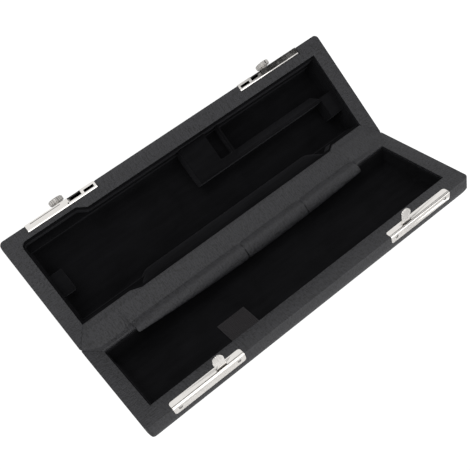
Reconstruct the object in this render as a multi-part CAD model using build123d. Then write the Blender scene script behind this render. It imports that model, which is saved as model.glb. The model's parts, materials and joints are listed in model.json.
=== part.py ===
from build123d import *
import math
import os

# Millimetres. X runs along the case, the hinge axis lies at the back (+Y) and the latches are on the
# front (-Y). The base's flat underside is the plane z = 0. Left and right are as seen from the front.
# Each half is drawn with its rim plane at z = 0 and its depth towards -Z, then put in its place.

# Case
case_length = 240.0
case_width = 75.2
base_depth = 24.0
lid_depth = 20.0
open_angle = 133.0
rim_gap = 0.3
underside_round = 16.0
back_round = 3.0
upright_round = 3.0
back_upright_round = 1.0
rim_round = 0.8

# Materials in sheets
cover_thickness = 1.0
base_floor = 4.0
lid_floor = 2.1
lining_fit = 0.1

# Base cavity: rims, and places measured from the hinge axis and from the middle of the case
end_rim = 9.4
base_front_rim = 9.9
recess_front_rim = 6.4
front_recess_gap = 44.1
front_recess_slope = 6.0
base_back_edge = 11.2
base_back_recess = 8.8
back_recess_right_gap = 41.6
back_recess_right_slope = 7.5
back_recess_left_gap = 28.6
back_recess_left_slope = 3.5
well_depth = 7.0
well_inset = 1.0
base_well_round = 5.0
tray_wall = 1.8
tray_top_step = 0.7
tray_corner_round = 4.0

# Pieces standing in the base tray
cushion_foot = 6.6
cushion_height = 14.0
cushion_end_gap = 3.0
block_left = -31.0
block_right = 0.0
channel_edge = 38.8
block_top = -6.0
slot_left = -29.4
slot_width = 9.6
slot_back = 44.4
slot_depth = 8.0
ridge_end_gap = 3.3
ridge_top_width = 1.6
ridge_foot_width = 7.0
rest_length = 9.0
rest_width = 14.5
rest_top = -6.5
left_rest_back = 26.6
right_rest_back = 30.8
rest_round = 2.0
block_round = 0.8

# Lid cavity
lid_front_rim = 11.0
lid_back_edge = 11.0
lid_well_round = 7.3
lid_lining = 1.3

# Padded faces on the lid's hinge wall
pad_back = 5.0
pad_bulge = 1.4
pad_end_gap = 22.6
pad_splits = (-42.3, 6.2)
pad_gap = 0.5
pad_low_left = -4.4
pad_low_middle = -7.2
pad_low_right = -1.8
pad_round = 2.0
pad_fit = 0.1

# Hook tape on the lid's floor
patch_size = 20.0
patch_thickness = 0.9
patch_end_gap = 70.4
patch_front_gap = 7.4

# Hinge
pin_radius = 0.9
pin_clearance = 0.05
barrel_radius = 1.75
leaf_thickness = 0.8
leaf_width = 8.4
hinge_end_gap = 10.0
knuckle_count = 21
knuckle_gap = 0.2
barrel_clearance = 0.3
strip_thickness = 0.8
strip_start = 2.3
nail_count = 8
nail_radius = 0.6
nail_length = 5.0
nail_head_radius = 1.2
nail_head_height = 0.25
nail_distance = 5.4

# Latch boxes in the base's front rim
latch_end_gap = 17.8
latch_length = 47.6
latch_width = 3.8
latch_proud = 0.5
latch_height = 11.25
latch_sheet = 0.7
latch_back_sheet = 0.6
tongue_slot_side = 0.8
tongue_slot_back = 0.3
front_notch = 1.5
window_start = 1.4
window_length = 6.8
window_width = 1.7
window_back = 1.3
seam_width = 0.3
seam_depth = 0.25
seam_start = 24.0
seam_length = 20.4
seam_back = 3.3
dot_radius = 0.5
dot_side = 1.5
dot_back = 1.3
latch_nail_radius = 0.5
latch_nail_head = 1.1
latch_nail_head_height = 0.3
latch_nail_length = 2.3
latch_nail_inner_gap = 4.8
latch_nail_outer_gap = 3.6
latch_nail_rise = 1.4

# Bolts
bolt_travel = 3.5
bolt_side_gap = 0.25
bolt_gap = 0.3
bolt_bite = 1.5
bolt_body_start = 2.5
bolt_body_end = 33.2
nose_top = 1.15
nose_height = 1.8
nose_slope = 1.3
knob_middle = 24.1
knob_drop = 4.65
knob_radius = 4.65
knob_thickness = 2.8
knob_neck_radius = 1.6
knob_neck_gap = 1.2
knob_slot_gap = 0.2
knob_edge = 0.5
flute_count = 20
flute_radius = 0.45

# Springs behind the bolts
spring_wire = 0.35
spring_radius = 0.95
spring_turns = 11

# Catch plates on the lid's front rim
catch_shift = 0.2
catch_length = 48.0
catch_sheet = 0.6
catch_width = 4.3
catch_drop = 5.0
catch_bend = 0.9
catch_corner = 1.6
plate_gap = 0.5
groove_width = 0.5
groove_depth = 0.15
groove_back = 3.5
tongue_start = 10.7
tongue_neck = 5.2
tongue_foot = 6.9
tongue_foot_height = 1.6
tongue_head_radius = 3.6
tongue_head_height = 10.4
tongue_set = 1.9
tongue_sheet = 0.8
slit_width = 0.4
catch_nail_end = 4.2
catch_nail_drop = 2.2
catch_nail_head = 1.45
catch_nail_dome = 0.5
catch_nail_radius = 0.55
catch_nail_length = 6.0
nail_hole_gap = 0.05

# Worked out from the values above
hinge_y = case_width / 2
rim_top = -rim_gap / 2
shell_top = rim_top - cover_thickness
strip_bottom = rim_top - strip_thickness
leaf_bottom = -barrel_radius
leaf_top = leaf_bottom + leaf_thickness
hinge_length = case_length - 2 * hinge_end_gap
cavity_end = case_length / 2 - end_rim
front_recess_start = cavity_end - front_recess_gap
back_recess_right = cavity_end - back_recess_right_gap
back_recess_left = back_recess_left_gap - cavity_end
base_front_edge = case_width - base_front_rim
base_front_recess = case_width - recess_front_rim
lid_front_edge = case_width - lid_front_rim
base_cavity_floor = -(base_depth - cover_thickness - base_floor)
lid_cavity_floor = -(lid_depth - cover_thickness - lid_floor)
shelf_height = base_cavity_floor + well_depth
tray_floor = base_cavity_floor + tray_wall
tray_top = shell_top - tray_top_step
ridge_left = ridge_end_gap + rest_length + tray_wall - cavity_end
lid_lining_floor = lid_cavity_floor + lid_lining
pad_ends = (pad_end_gap - cavity_end, *pad_splits, cavity_end - pad_end_gap)
patch_middle = cavity_end - patch_end_gap
patch_back = lid_front_edge - lid_lining - patch_front_gap - patch_size
latch_inner_end = case_length / 2 - latch_end_gap - latch_length
latch_back = case_width - latch_width
latch_front = case_width + latch_proud
latch_top = rim_top - catch_sheet
latch_bottom = latch_top - latch_height
latch_room_back = latch_back + latch_back_sheet
latch_room_front = latch_front - latch_sheet
latch_room_top = latch_top - latch_sheet
latch_room_bottom = latch_bottom + latch_sheet
catch_inner_end = latch_inner_end + catch_shift
catch_back = case_width - catch_width
tongue_back = latch_back + tongue_set
tongue_inner = catch_inner_end + tongue_start
tongue_head_outer = tongue_inner + 2 * tongue_head_radius
catch_top = rim_top + catch_sheet


def at(distance):
    """Y of a point this far in front of the hinge axis."""
    return hinge_y - distance


def block(x_low, x_high, near, far, z_low, z_high):
    """Box between two places along the case, two distances from the hinge axis and two heights."""
    size = (x_high - x_low, far - near, z_high - z_low)
    middle = ((x_low + x_high) / 2, at((near + far) / 2), (z_low + z_high) / 2)
    return Pos(*middle) * Box(*size)


def rod(x, near, far, z, radius):
    """Round rod along Y."""
    return Pos(x, at((near + far) / 2), z) * Rot(90, 0, 0) * Cylinder(radius, far - near)


def upright(x, distance, z_low, z_high, radius):
    """Round rod along Z."""
    return Pos(x, at(distance), (z_low + z_high) / 2) * Cylinder(radius, z_high - z_low)


def outer_form(depth, inset, top):
    """Half a case, rounded underneath, set in by inset on every side but the rim."""
    low = -depth + inset
    length = case_length - 2 * inset
    across = Plane.YZ * Pos(0, (low + top) / 2) * Rectangle(case_width - 2 * inset, top - low)
    corners = across.vertices().group_by(Axis.Z)[0].sort_by(Axis.Y)
    across = fillet(corners[-1], back_round - inset)
    front_corner = across.vertices().group_by(Axis.Z)[0].sort_by(Axis.Y)[0]
    across = fillet(front_corner, underside_round - inset)
    along = Plane.XZ * Pos(0, (low + top) / 2) * Rectangle(length, top - low)
    along = fillet(along.vertices().group_by(Axis.Z)[0], underside_round - inset)
    plan = Pos(0, 0, low) * Rectangle(length, case_width - 2 * inset)
    plan = fillet(plan.vertices().group_by(Axis.Y)[0], upright_round - inset / 2)
    plan = fillet(plan.vertices().group_by(Axis.Y)[-1], back_upright_round - inset / 2)
    body = extrude(across, amount=case_length, both=True)
    body = body & extrude(along, amount=case_width, both=True)
    return body & extrude(plan, amount=top - low)


def strip_outline(edge):
    """Mitred strip on the hinge-side rim, ending at the distance edge from the axis."""
    start_end = case_length / 2 - end_rim * strip_start / edge
    corners = [
        (start_end, at(strip_start)),
        (cavity_end, at(edge)),
        (-cavity_end, at(edge)),
        (-start_end, at(strip_start)),
    ]
    return make_face(Polyline(*corners, close=True))


def base_outline():
    """Edge of the base's cavity, with its recesses on the hinge side and at the front."""
    right_foot = back_recess_right + back_recess_right_slope
    left_foot = back_recess_left - back_recess_left_slope
    recess_foot = front_recess_start + front_recess_slope
    points = [
        (cavity_end, at(base_back_edge)),
        (right_foot, at(base_back_edge)),
        (back_recess_right, at(base_back_recess)),
        (back_recess_left, at(base_back_recess)),
        (left_foot, at(base_back_edge)),
        (-cavity_end, at(base_back_edge)),
        (-cavity_end, at(base_front_edge)),
        (front_recess_start, at(base_front_edge)),
        (recess_foot, at(base_front_recess)),
        (cavity_end, at(base_front_recess)),
    ]
    face = make_face(Polyline(*points, close=True))
    corner = face.vertices().sort_by_distance((cavity_end, at(base_front_recess), 0))[0]
    return fillet(corner, tray_corner_round)


def base_cavity(gap, floor, top):
    """Space in the base, drawn in by gap on its sides, from its floor to the height top."""
    edge = offset(base_outline(), amount=-gap) if gap else base_outline()
    shelf = shelf_height + gap
    upper = extrude(Pos(0, 0, shelf) * edge, amount=top - shelf)
    inset = well_inset + gap
    end = cavity_end - inset
    lower = block(-end, end, base_back_edge + inset, base_front_edge - inset, floor, shelf)
    lower = fillet(lower.edges().group_by(Axis.Z)[0], base_well_round - gap)
    return upper + lower


def lid_cavity(gap, floor, top):
    """Space in the lid, drawn in by gap on its sides."""
    end = cavity_end - gap
    space = block(-end, end, lid_back_edge + gap, lid_front_edge - gap, floor, top)
    return fillet(space.edges().group_by(Axis.Z)[0], lid_well_round - gap)


def hinge_rebate(edge):
    """Room for the leaf and the strip on a hinge-side rim, with a groove round the barrel."""
    half = hinge_length / 2 + knuckle_gap
    strip = extrude(Pos(0, 0, strip_bottom) * strip_outline(edge), amount=1 - strip_bottom)
    leaf = block(-half, half, -1, leaf_width, leaf_bottom, 1)
    groove = Rot(0, 90, 0) * Cylinder(barrel_radius + barrel_clearance, 2 * half)
    return strip + leaf + Pos(0, hinge_y, 0) * groove


def latch_pocket(side):
    """Room for one latch box, and for the catch plate that comes down over it."""
    box_room = block(latch_inner_end, latch_inner_end + latch_length, latch_back, case_width + 2,
                     latch_bottom, 1)
    plate_room = block(catch_inner_end - plate_gap, catch_inner_end + catch_length + plate_gap,
                       catch_back - plate_gap, case_width + 2, latch_top, 1)
    return on_side(box_room + plate_room, side)


def on_side(shape, side):
    """The shape as drawn on the right, or its mirror image on the left."""
    return shape if side > 0 else mirror(shape, about=Plane.YZ)


def hinge_nails(top):
    """Nails through one leaf, with their flat heads on it."""
    nails = Part()
    step = hinge_length / nail_count
    for index in range(nail_count):
        x = -hinge_length / 2 + step * (index + 0.5)
        nails += upright(x, nail_distance, top - nail_length, top, nail_radius)
        nails += upright(x, nail_distance, top - nail_head_height, top, nail_head_radius)
    return nails


def nail_holes(top):
    """Countersunk holes that the hinge nails stand in."""
    holes = Part()
    step = hinge_length / nail_count
    deep = nail_length + nail_hole_gap
    for index in range(nail_count):
        x = -hinge_length / 2 + step * (index + 0.5)
        holes += upright(x, nail_distance, top - deep, top, nail_radius + nail_hole_gap)
        holes += upright(x, nail_distance, top - nail_head_height, top, nail_head_radius + nail_hole_gap)
    return holes


def hinge_leaf(first):
    """One leaf with every second knuckle, starting with knuckle number first."""
    step = hinge_length / knuckle_count
    half = hinge_length / 2
    leaf = block(-half, half, barrel_radius + barrel_clearance, leaf_width, leaf_bottom, leaf_top)
    for index in range(first, knuckle_count, 2):
        left = -half + step * index + knuckle_gap / 2
        right = left + step - knuckle_gap
        barrel = Pos((left + right) / 2, hinge_y, 0) * Rot(0, 90, 0) * Cylinder(barrel_radius, right - left)
        leaf += barrel + block(left, right, 0, leaf_width / 2, leaf_bottom, leaf_top)
    bore = Rot(0, 90, 0) * Cylinder(pin_radius + pin_clearance, case_length)
    return leaf - Pos(0, hinge_y, 0) * bore - nail_holes(leaf_top)


def hinge_strip(edge, cavity):
    """Leatherette over one leaf, with mitred ends, cut to the cavity's edge."""
    return extrude(Pos(0, 0, strip_bottom) * strip_outline(edge), amount=strip_thickness) - cavity


def cover(depth, cavity, rebate):
    """Leatherette over the outside and the rim of one half."""
    skin = outer_form(depth, 0, rim_top)
    outline = skin.edges().group_by(Axis.Z)[-1]
    skin = fillet(outline, rim_round)
    return skin - outer_form(depth, cover_thickness, shell_top) - cavity - rebate


def shell(depth, cavity, rebate):
    """Board box inside the leatherette of one half."""
    return outer_form(depth, cover_thickness, shell_top) - cavity - rebate - nail_holes(leaf_top)


def tray_lining():
    """Fitted velvet tray in the base."""
    outside = base_cavity(lining_fit, base_cavity_floor, tray_top)
    return outside - tray_room()


def tray_room():
    """Space inside the fitted tray."""
    return base_cavity(tray_wall, tray_floor, 1)


def hinge_side_cushion():
    """Sloping velvet band under the recess of the hinge side."""
    wall = base_back_recess + tray_wall
    top = tray_top - tray_top_step
    foot = top - cushion_height
    toe = (at(wall + cushion_foot), foot)
    belly = (at(wall + cushion_foot * 0.62), top - cushion_height * 0.5)
    back = Polyline((at(wall), top), (at(wall - 1), top), (at(wall - 1), foot), toe)
    slope = ThreePointArc(toe, belly, (at(wall), top))
    left = back_recess_left + cushion_end_gap
    right = back_recess_right - cushion_end_gap
    face = Pos(left, 0, 0) * (Plane.YZ * make_face(back + slope))
    return extrude(face, amount=right - left) & tray_room()


def head_joint_block():
    """Raised velvet block with the slot across it."""
    body = block(block_left, block_right, channel_edge, base_front_edge, tray_floor, block_top)
    upper = body.edges().group_by(Axis.Z)[-1]
    body = fillet(upper.filter_by(Axis.X).sort_by(Axis.Y)[-1], block_round)
    slot = block(slot_left, slot_left + slot_width, slot_back, base_front_edge,
                 block_top - slot_depth, 1)
    return (body - slot) & tray_room()


def divider_ridge():
    """Low ridge between the two joints' channels, steep behind and sloping in front."""
    top_front = channel_edge + ridge_top_width
    foot_front = channel_edge + ridge_foot_width
    points = [
        (at(channel_edge), tray_floor),
        (at(channel_edge), block_top),
        (at(top_front), block_top),
        (at(foot_front), tray_floor),
    ]
    face = Pos(ridge_left, 0, 0) * (Plane.YZ * make_face(Polyline(*points, close=True)))
    return extrude(face, amount=block_left - ridge_left)


def end_rest(side, back):
    """Small velvet block against an end wall of the tray."""
    wall = cavity_end - tray_wall
    body = block(wall - rest_length, cavity_end, back, back + rest_width, tray_floor, rest_top)
    corners = body.edges().filter_by(Axis.Z).group_by(Axis.X)[0]
    body = fillet(corners, rest_round)
    body = fillet(body.edges().group_by(Axis.Z)[-1].group_by(Axis.X)[0], block_round)
    return on_side(body, side) & tray_room()


def latch_case():
    """Box of the right latch: open at the back, slotted at the top and the front."""
    x_end = latch_inner_end + latch_length
    case = block(latch_inner_end, x_end, latch_room_back, latch_front, latch_bottom, latch_top)
    room = block(latch_inner_end + latch_sheet, x_end - latch_sheet, latch_room_back, latch_room_front,
                 latch_room_bottom, latch_room_top)
    tongue_slot = block(tongue_inner - tongue_slot_side, tongue_head_outer + tongue_slot_side,
                        tongue_back - tongue_slot_back, latch_front, latch_top - front_notch, latch_top)
    window_x = latch_inner_end + window_start
    window_y = latch_back + window_back
    window = block(window_x, window_x + window_length, window_y, window_y + window_width,
                   latch_room_top, latch_top)
    seam_x = latch_inner_end + seam_start
    seam_y = latch_back + seam_back
    seam = block(seam_x, seam_x + seam_length, seam_y, seam_y + seam_width,
                 latch_top - seam_depth, latch_top)
    dot = upright(tongue_head_outer + dot_side, latch_back + dot_back, latch_room_top, latch_top,
                  dot_radius)
    return case - room - tongue_slot - window - seam - dot - knob_slot()


def knob_slot():
    """Slot in the latch box's front that the knob's neck slides in."""
    reach = knob_neck_radius + knob_slot_gap
    x = latch_inner_end + knob_middle
    z = latch_top - knob_drop
    slot = block(x, x + bolt_travel, latch_room_front, latch_front, z - reach, z + reach)
    slot += rod(x, latch_room_front, latch_front, z, reach)
    return slot + rod(x + bolt_travel, latch_room_front, latch_front, z, reach)


def latch_back_plate():
    """Plate that closes the latch box behind, with its nail holes."""
    x_end = latch_inner_end + latch_length
    plate = block(latch_inner_end, x_end, latch_back, latch_room_back, latch_bottom, latch_top)
    return plate - latch_nails(nail_hole_gap)


def latch_nails(gap):
    """Two nails through the right latch box's back plate, or their holes, wider by gap."""
    tip = latch_room_back - latch_nail_length - gap
    head_end = latch_room_back + latch_nail_head_height
    z = latch_room_bottom + latch_nail_rise
    nails = Part()
    x_end = latch_inner_end + latch_length
    for x in (latch_inner_end + latch_nail_inner_gap, x_end - latch_nail_outer_gap):
        nails += rod(x, tip, latch_room_back, z, latch_nail_radius + gap)
        nails += rod(x, latch_room_back, head_end, z, latch_nail_head)
    return nails


def latch_bolt():
    """Right bolt: a plate with a nose that reaches under the tongue's head."""
    near = latch_room_back + bolt_side_gap
    far = latch_room_front - bolt_side_gap
    nose_tip = tongue_head_outer - bolt_bite
    body_start = tongue_head_outer + bolt_body_start
    body_end = latch_inner_end + bolt_body_end
    top = latch_room_top - bolt_gap
    body = block(body_start, body_end, near, far, latch_room_bottom + bolt_gap, top)
    nose_z = latch_top - nose_top
    nose = block(nose_tip, body_start, near, far, nose_z - nose_height, nose_z)
    tip = nose.edges().filter_by(Axis.Y).group_by(Axis.X)[0].sort_by(Axis.Z)[-1]
    return body + chamfer(tip, nose_slope)


def latch_knob():
    """Right finger knob with its neck, fluted round the rim."""
    x = latch_inner_end + knob_middle
    z = latch_top - knob_drop
    neck_end = latch_front + knob_neck_gap
    neck_start = latch_room_front - bolt_side_gap
    knob = rod(x, neck_end, neck_end + knob_thickness, z, knob_radius)
    knob = chamfer(knob.edges().filter_by(GeomType.CIRCLE), knob_edge)
    for index in range(flute_count):
        turn = math.radians(360 / flute_count * index)
        flute_x = x + knob_radius * math.cos(turn)
        flute_z = z + knob_radius * math.sin(turn)
        knob -= rod(flute_x, neck_end - 1, neck_end + knob_thickness + 1, flute_z, flute_radius)
    return knob + rod(x, neck_start, neck_end, z, knob_neck_radius)


def latch_spring():
    """Right compression spring, between the bolt and the box's end."""
    start = latch_inner_end + bolt_body_end + bolt_gap + spring_wire / 2
    end = latch_inner_end + latch_length - latch_sheet - bolt_gap - spring_wire / 2
    pitch = (end - start) / spring_turns
    middle = (latch_room_back + latch_room_front) / 2
    helix = Helix(pitch, end - start, spring_radius)
    wire = Plane(helix @ 0, z_dir=helix % 0) * Circle(spring_wire / 2)
    coil = sweep(wire, path=helix, is_frenet=True)
    height = (latch_top + latch_bottom) / 2
    print("spring gap between turns", round(pitch - spring_wire, 3))
    return Pos(start, at(middle), height) * Rot(0, 90, 0) * coil


def catch_plate():
    """Right catch plate: an angle with a hooked tongue bent up out of it."""
    x_end = catch_inner_end + catch_length
    front = case_width + catch_sheet
    top = block(catch_inner_end, x_end, catch_back, front, rim_top, catch_top)
    flange = block(catch_inner_end, x_end, case_width, front, -catch_drop, catch_top)
    plate = top + flange
    bend = plate.edges().filter_by(Axis.X).group_by(Axis.Z)[-1].sort_by(Axis.Y)[0]
    plate = fillet(bend, catch_bend)
    inner = plate.edges().filter_by(Axis.Z).group_by(Axis.Y)[-1]
    plate = fillet(inner, catch_corner)
    low = plate.edges().filter_by(Axis.Y).group_by(Axis.Z)[0]
    plate = fillet(low, catch_corner)
    groove_y = catch_back + groove_back
    groove = block(catch_inner_end - 1, x_end + 1, groove_y, groove_y + groove_width,
                   catch_top - groove_depth, catch_top + 1)
    slit = block(tongue_inner, tongue_inner + tongue_foot, tongue_back + tongue_sheet,
                 tongue_back + tongue_sheet + slit_width, rim_top, catch_top)
    return plate - groove - slit - catch_nail_shanks(nail_hole_gap) + catch_tongue()


def catch_tongue():
    """Flat tongue with a round head that overhangs its neck on the outer side."""
    corner = (Align.MIN, Align.MIN)
    head_middle = tongue_head_height - tongue_head_radius
    foot = Rectangle(tongue_foot, tongue_foot_height, align=corner)
    neck = Rectangle(tongue_neck, head_middle, align=corner)
    head = Pos(tongue_head_radius, head_middle) * Circle(tongue_head_radius)
    outline = foot + neck + head
    face = Plane.XZ * Pos(tongue_inner, rim_top) * outline
    return extrude(Pos(0, at(tongue_back), 0) * face, amount=tongue_sheet)


def catch_nail_places():
    """Places of the right catch plate's nails along the case."""
    x_end = catch_inner_end + catch_length
    return (catch_inner_end + catch_nail_end, x_end - catch_nail_end)


def catch_nail_shanks(gap):
    """Shanks of the right catch plate's nails, or their holes."""
    front = case_width + catch_sheet
    shanks = Part()
    for x in catch_nail_places():
        shanks += rod(x, front - catch_nail_length - gap, front, -catch_nail_drop, catch_nail_radius + gap)
    return shanks


def catch_nails():
    """Domed nails of the right catch plate."""
    front = case_width + catch_sheet
    sphere = (catch_nail_head ** 2 + catch_nail_dome ** 2) / (2 * catch_nail_dome)
    nails = catch_nail_shanks(0)
    for x in catch_nail_places():
        ball = Pos(x, at(front + catch_nail_dome - sphere), -catch_nail_drop) * Sphere(sphere)
        reach = block(x - sphere, x + sphere, front, front + sphere, -catch_nail_drop - sphere,
                      -catch_nail_drop + sphere)
        nails += ball & reach
    return nails


def hinge_pad(low_x, high_x):
    """Padded face over the hinge-side rim and wall of the lid, with rounded ends."""
    wall = lid_back_edge + lid_lining
    top = rim_top - pin_clearance
    crown = Polyline((at(wall), pad_low_middle), (at(wall), strip_bottom), (at(pad_back), strip_bottom),
                     (at(pad_back), top), (at(wall - pad_bulge), top))
    belly = (at(wall + pad_bulge), top + pad_low_middle * 0.3)
    face = make_face(crown + ThreePointArc((at(wall - pad_bulge), top), belly, (at(wall), pad_low_middle)))
    pad = extrude(Pos(low_x, 0, 0) * (Plane.YZ * face), amount=high_x - low_x)
    reach = wall + pad_bulge * 1.2
    plan = RectangleRounded(high_x - low_x - pad_gap, reach, pad_round)
    ends = Pos((low_x + high_x) / 2, at(reach / 2), pad_low_middle) * plan
    return pad & extrude(ends, amount=case_length)


def hinge_pads():
    """The three padded faces, side by side, cut along one long curve below."""
    left, right = pad_ends[0], pad_ends[-1]
    middle = ((left + right) / 2, pad_low_middle)
    lower_edge = ThreePointArc((left, pad_low_left), middle, (right, pad_low_right))
    sides = Polyline((right, pad_low_right), (right, 1), (left, 1), (left, pad_low_left))
    region = extrude(Plane.XZ * make_face(lower_edge + sides), amount=case_width, both=True)
    return [hinge_pad(low, high) & region for low, high in zip(pad_ends, pad_ends[1:])]


def hook_tape_patch():
    """Square of hook tape on the lid's velvet floor."""
    low = patch_middle - patch_size / 2
    return block(low, low + patch_size, patch_back, patch_back + patch_size,
                 lid_lining_floor, lid_lining_floor + patch_thickness)


def in_base(shape):
    """Place of a piece of the base."""
    return Pos(0, 0, base_depth) * shape


def in_lid(shape):
    """Place of a piece of the opened lid."""
    closed = Pos(0, 0, base_depth) * mirror(shape, about=Plane.XY)
    return closed.rotate(Axis((0, hinge_y, base_depth), (1, 0, 0)), -open_angle)


def base_pieces():
    opening = base_cavity(0, base_cavity_floor, 1)
    pockets = latch_pocket(1) + latch_pocket(-1)
    rebate = hinge_rebate(base_back_edge)
    nails = latch_nails(0)
    holes = latch_nails(nail_hole_gap)
    pin = Pos(0, hinge_y, 0) * Rot(0, 90, 0) * Cylinder(pin_radius, hinge_length)
    pieces = {
        "base_shell": shell(base_depth, opening, rebate) - pockets - holes - on_side(holes, -1),
        "base_cover": cover(base_depth, opening, rebate) - pockets,
        "tray_lining": tray_lining(),
        "hinge_side_cushion": hinge_side_cushion(),
        "head_joint_block": head_joint_block(),
        "divider_ridge": divider_ridge(),
        "left_end_rest": end_rest(-1, left_rest_back),
        "right_end_rest": end_rest(1, right_rest_back),
        "latch_nails": nails + on_side(nails, -1),
        "base_hinge_leaf": hinge_leaf(0),
        "base_hinge_nails": hinge_nails(leaf_top),
        "base_hinge_strip": hinge_strip(base_back_edge, opening),
        "hinge_pin": pin,
    }
    for name, side in (("left", -1), ("right", 1)):
        pieces[name + "_latch_case"] = on_side(latch_case(), side)
        pieces[name + "_latch_back_plate"] = on_side(latch_back_plate(), side)
        pieces[name + "_latch_bolt"] = on_side(latch_bolt(), side)
        pieces[name + "_latch_knob"] = on_side(latch_knob(), side)
        pieces[name + "_latch_spring"] = on_side(latch_spring(), side)
    return pieces


def lid_pieces():
    opening = lid_cavity(0, lid_cavity_floor, 1)
    shanks = catch_nail_shanks(nail_hole_gap)
    holes = shanks + on_side(shanks, -1)
    rebate = hinge_rebate(lid_back_edge)
    pad_left, pad_middle, pad_right = hinge_pads()
    pad_room = block(pad_ends[0], pad_ends[-1], pad_back - pad_fit, lid_back_edge + 1, strip_bottom, 1)
    nails = catch_nails()
    inside = lid_cavity(lining_fit, lid_cavity_floor, shell_top - tray_top_step)
    pieces = {
        "lid_shell": shell(lid_depth, opening, rebate) - holes,
        "lid_cover": cover(lid_depth, opening, rebate) - holes,
        "lid_lining": inside - lid_cavity(lid_lining, lid_lining_floor, 1),
        "left_hinge_pad": pad_left,
        "middle_hinge_pad": pad_middle,
        "right_hinge_pad": pad_right,
        "hook_tape_patch": hook_tape_patch(),
        "catch_nails": nails + on_side(nails, -1),
        "lid_hinge_leaf": hinge_leaf(1),
        "lid_hinge_nails": hinge_nails(leaf_top),
        "lid_hinge_strip": hinge_strip(lid_back_edge, opening + pad_room),
    }
    for name, side in (("left", -1), ("right", 1)):
        pieces[name + "_catch_plate"] = on_side(catch_plate(), side)
    return pieces


os.makedirs("parts", exist_ok=True)
for name, shape in base_pieces().items():
    export_step(in_base(shape), "parts/" + name + ".step")
for name, shape in lid_pieces().items():
    export_step(in_lid(shape), "parts/" + name + ".step")
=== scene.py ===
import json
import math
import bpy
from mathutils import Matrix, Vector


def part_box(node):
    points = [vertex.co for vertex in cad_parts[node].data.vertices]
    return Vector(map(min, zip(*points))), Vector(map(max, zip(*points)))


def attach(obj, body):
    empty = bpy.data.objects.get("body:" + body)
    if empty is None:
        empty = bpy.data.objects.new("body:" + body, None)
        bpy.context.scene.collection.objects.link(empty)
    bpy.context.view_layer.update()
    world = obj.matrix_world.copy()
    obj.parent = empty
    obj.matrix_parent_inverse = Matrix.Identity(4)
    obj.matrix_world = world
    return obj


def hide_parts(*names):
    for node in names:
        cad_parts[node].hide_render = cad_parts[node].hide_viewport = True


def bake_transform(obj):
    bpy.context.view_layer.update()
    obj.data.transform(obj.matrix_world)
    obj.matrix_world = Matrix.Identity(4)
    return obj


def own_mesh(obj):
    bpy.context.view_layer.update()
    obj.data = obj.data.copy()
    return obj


bl_info = {
    "name": "Piccolo Case",
    "version": (1, 0, 0),
    "blender": (4, 5, 0),
    "location": "View3D > Sidebar > Piccolo Case",
    "description": "Leatherette, velvet and nickel finish for the open piccolo case",
    "category": "Object",
}

import bmesh
import bpy
from mathutils import Matrix, Vector

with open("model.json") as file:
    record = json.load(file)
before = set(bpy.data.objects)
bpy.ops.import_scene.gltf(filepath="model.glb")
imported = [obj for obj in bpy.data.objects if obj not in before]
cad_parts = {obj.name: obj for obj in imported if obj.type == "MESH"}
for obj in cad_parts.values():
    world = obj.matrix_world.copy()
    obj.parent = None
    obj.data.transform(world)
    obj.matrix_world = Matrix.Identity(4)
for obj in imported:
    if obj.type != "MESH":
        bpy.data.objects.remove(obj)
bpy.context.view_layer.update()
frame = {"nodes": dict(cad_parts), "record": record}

MM = 0.001
JOINTS = {joint["name"]: joint for joint in frame["record"]["behaviour"]["joints"]}
HINGE_Y, HINGE_Z = JOINTS["lid_hinge"]["pos_m"][1:]
LID_TILT = math.radians(180 - JOINTS["lid_hinge"]["range_deg"][1])
LID_TURN = (
    Matrix.Translation((0, HINGE_Y, HINGE_Z))
    @ Matrix.Rotation(LID_TILT, 4, "X")
    @ Matrix.Translation((0, -HINGE_Y, -HINGE_Z))
)


# Measures shared by several pieces, in millimetres

# Along the case, from its middle
HALF_LENGTH = 120
CAVITY_END = 110.6
STRAIGHT_END = 108.5  # the strip's rows run straight up to here
PAD_END = 88.0
PAST_END = 130  # clear of the case

# Away from the hinge axis
WIDTH = 75.2
STRIP_LEAVES = 7.2  # the strip leaves the base's rim here
PAD_BACK = 5.0
PAD_FRONT = 14.6
ROLL_BACK = 8.5  # a pad's top starts to roll down here

# Above the plane of the rims
RIM = -0.15
STRIP_TOP = -0.1
PAD_TOP = -0.05
LINING_TOP = -1.85
LEDGE = -10.2  # shelf round the tray's well
TRAY_FLOOR = -17.2
BLOCK_FOOT = -17.4
LID_FLOOR = -15.6
ABOVE = 3  # clear of the rims

# Corners
SEAM = 0.2
FRONT_CORNER = 3.0
HINGE_CORNER = 1.0
TRAY_CORNER = 4.0
HINGE_MITRE = 0.84  # width of an end rim over that of the rim beside the hinge
FRONT_MITRE = 0.95  # the same at the front

# Each cavity's edges away from the hinge axis, and the steps in them as (x, distance)
OUTLINES = {
    "base": {
        "back": 11.2,
        "front": 65.3,
        "back_steps": ((-85.5, 11.2), (-82.0, 8.8), (69.0, 8.8), (76.5, 11.2)),
        "front_steps": ((66.5, 65.3), (72.5, 68.8)),
    },
    "lid": {"back": 11.0, "front": 64.2, "back_steps": (), "front_steps": ()},
}


# Places


def place(half, x, distance, height):
    """Point of one half, from millimetres: along the case, from the hinge axis and above the rims.
    The lid is drawn lying flat behind the hinge, and then turned up to its open angle."""
    side = -1 if half == "base" else 1
    return Vector((x * MM, HINGE_Y + side * distance * MM, HINGE_Z + height * MM))


def along(point):
    """Millimetres from the case's middle."""
    return point.x / MM


def distance_of(point):
    """Millimetres from the hinge axis, for a piece of either half that is still lying flat."""
    return abs(point.y - HINGE_Y) / MM


def height_of(point):
    """Millimetres above the rim plane."""
    return (point.z - HINGE_Z) / MM


def near(value, target, reach=0.02):
    return abs(value - target) < reach


def both(edge, measure, target):
    """Whether both ends of an edge measure target."""
    return all(near(measure(vert.co), target) for vert in edge.verts)


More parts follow.
